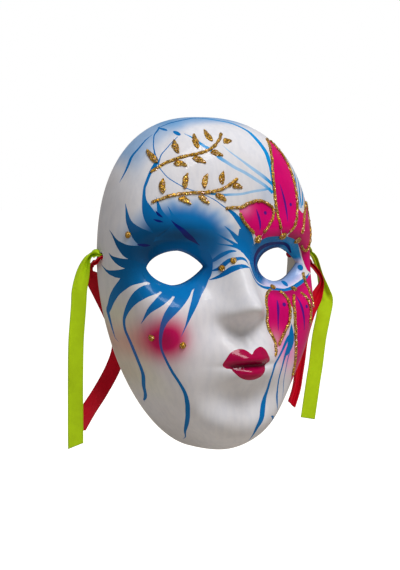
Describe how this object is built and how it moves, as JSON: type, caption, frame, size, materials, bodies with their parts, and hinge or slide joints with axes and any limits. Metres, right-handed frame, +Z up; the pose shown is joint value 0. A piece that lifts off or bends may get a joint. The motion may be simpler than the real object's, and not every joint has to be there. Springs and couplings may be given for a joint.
{
  "type": "venetian masquerade mask",
  "caption": "Full-face decorative masquerade mask with almond eye holes, painted finish, raised glitter trim and satin ribbon ties at the temples.",
  "frame": {"origin": "in the back rim plane on the centre line, at the height of the nose root", "axes": "+Z up through the crown, face looking along -Y, +X to the viewer's right"},
  "size_m": [0.206, 0.0919, 0.22],
  "materials": {
    "glazed_shell": "satin glaze over hand-painted ornament",
    "gold_glitter": "sparkling glitter glue",
    "lime_satin": "satin",
    "red_satin": "satin"
  },
  "bodies": {
    "mask": {"mask_shell": "glazed_shell", "forehead_sprig": "gold_glitter", "brow_petal_inner": "gold_glitter", "brow_petal_middle": "gold_glitter", "brow_petal_outer": "gold_glitter", "cheek_petal_inner": "gold_glitter", "cheek_petal_outer": "gold_glitter", "rim_petal": "gold_glitter", "petal_drops": "gold_glitter", "glitter_dots": "gold_glitter", "left_lime_knot": "lime_satin", "left_red_knot": "red_satin", "right_lime_knot": "lime_satin", "right_red_knot": "red_satin"},
    "left_lime_ribbon": {"left_lime_tie": "lime_satin"},
    "left_red_ribbon": {"left_red_tie": "red_satin"},
    "right_lime_ribbon": {"right_lime_tie": "lime_satin"},
    "right_red_ribbon": {"right_red_tie": "red_satin"}
  },
  "joints": [
    {"name": "left_lime_swing", "type": "hinge", "parent": "mask", "child": "left_lime_ribbon", "pos_m": [0, 0, 0.001], "axis": [1, 0, 0], "range_deg": [0, 90]},
    {"name": "left_red_swing", "type": "hinge", "parent": "mask", "child": "left_red_ribbon", "pos_m": [0, 0, 0.001], "axis": [1, 0, 0], "range_deg": [0, 90]},
    {"name": "right_lime_swing", "type": "hinge", "parent": "mask", "child": "right_lime_ribbon", "pos_m": [0, -0.0003, 0.0012], "axis": [1, 0, 0], "range_deg": [0, 90]},
    {"name": "right_red_swing", "type": "hinge", "parent": "mask", "child": "right_red_ribbon", "pos_m": [0, -0.0005, -0.0068], "axis": [1, 0, 0], "range_deg": [0, 90]}
  ],
  "couplings": [
    {"joint": "left_red_swing", "follows": "left_lime_swing", "ratio": 1},
    {"joint": "right_red_swing", "follows": "right_lime_swing", "ratio": 1}
  ]
}
